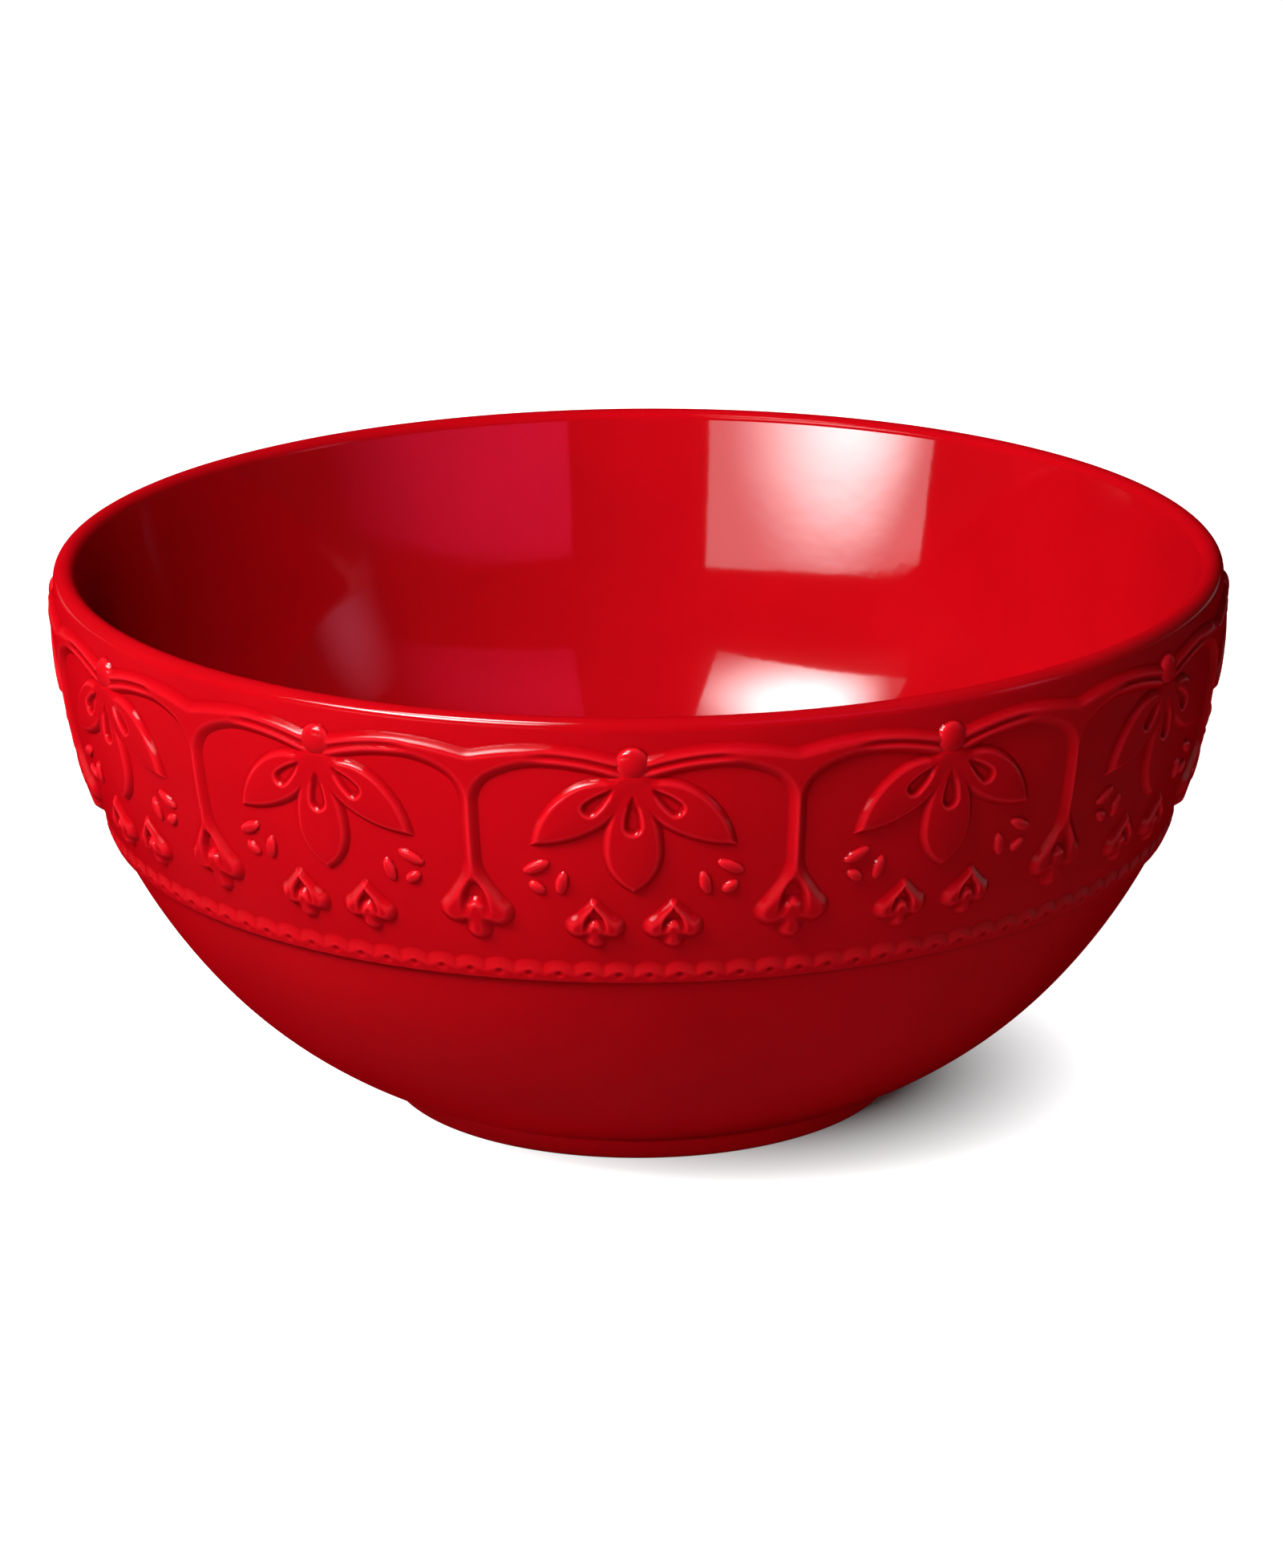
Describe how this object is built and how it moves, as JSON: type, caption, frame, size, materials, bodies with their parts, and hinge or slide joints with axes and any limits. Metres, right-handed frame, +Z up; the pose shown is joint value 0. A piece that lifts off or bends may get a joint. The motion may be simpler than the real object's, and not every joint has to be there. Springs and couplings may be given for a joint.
{
  "type": "deep footed bowl",
  "caption": "Deep half-ball serving bowl in glossy red glazed stoneware on a low foot ring, with an applied frieze of hanging lotus flowers, arches and a scalloped lace edge.",
  "frame": {"origin": "on the table, under the middle of the bowl", "axes": "+Z up along the bowl's axis of turning; one lotus flower faces -Y"},
  "size_m": [0.2578, 0.2578, 0.1205],
  "materials": {
    "red_glaze": "gloss",
    "foot_glaze": "gloss"
  },
  "bodies": {
    "root": {"bowl_body": "red_glaze", "foot_ring": "foot_glaze", "lace_edge": "red_glaze", "arch_stem_01": "red_glaze", "arch_stem_02": "red_glaze", "arch_stem_03": "red_glaze", "arch_stem_04": "red_glaze", "arch_stem_05": "red_glaze", "arch_stem_06": "red_glaze", "arch_stem_07": "red_glaze", "arch_stem_08": "red_glaze", "arch_stem_09": "red_glaze", "arch_stem_10": "red_glaze", "arch_stem_11": "red_glaze", "arch_stem_12": "red_glaze", "lotus_flower_01": "red_glaze", "lotus_flower_02": "red_glaze", "lotus_flower_03": "red_glaze", "lotus_flower_04": "red_glaze", "lotus_flower_05": "red_glaze", "lotus_flower_06": "red_glaze", "lotus_flower_07": "red_glaze", "lotus_flower_08": "red_glaze", "lotus_flower_09": "red_glaze", "lotus_flower_10": "red_glaze", "lotus_flower_11": "red_glaze", "lotus_flower_12": "red_glaze", "crown_beads": "red_glaze", "seed_grains": "red_glaze", "heart_drops": "red_glaze"}
  },
  "joints": []
}
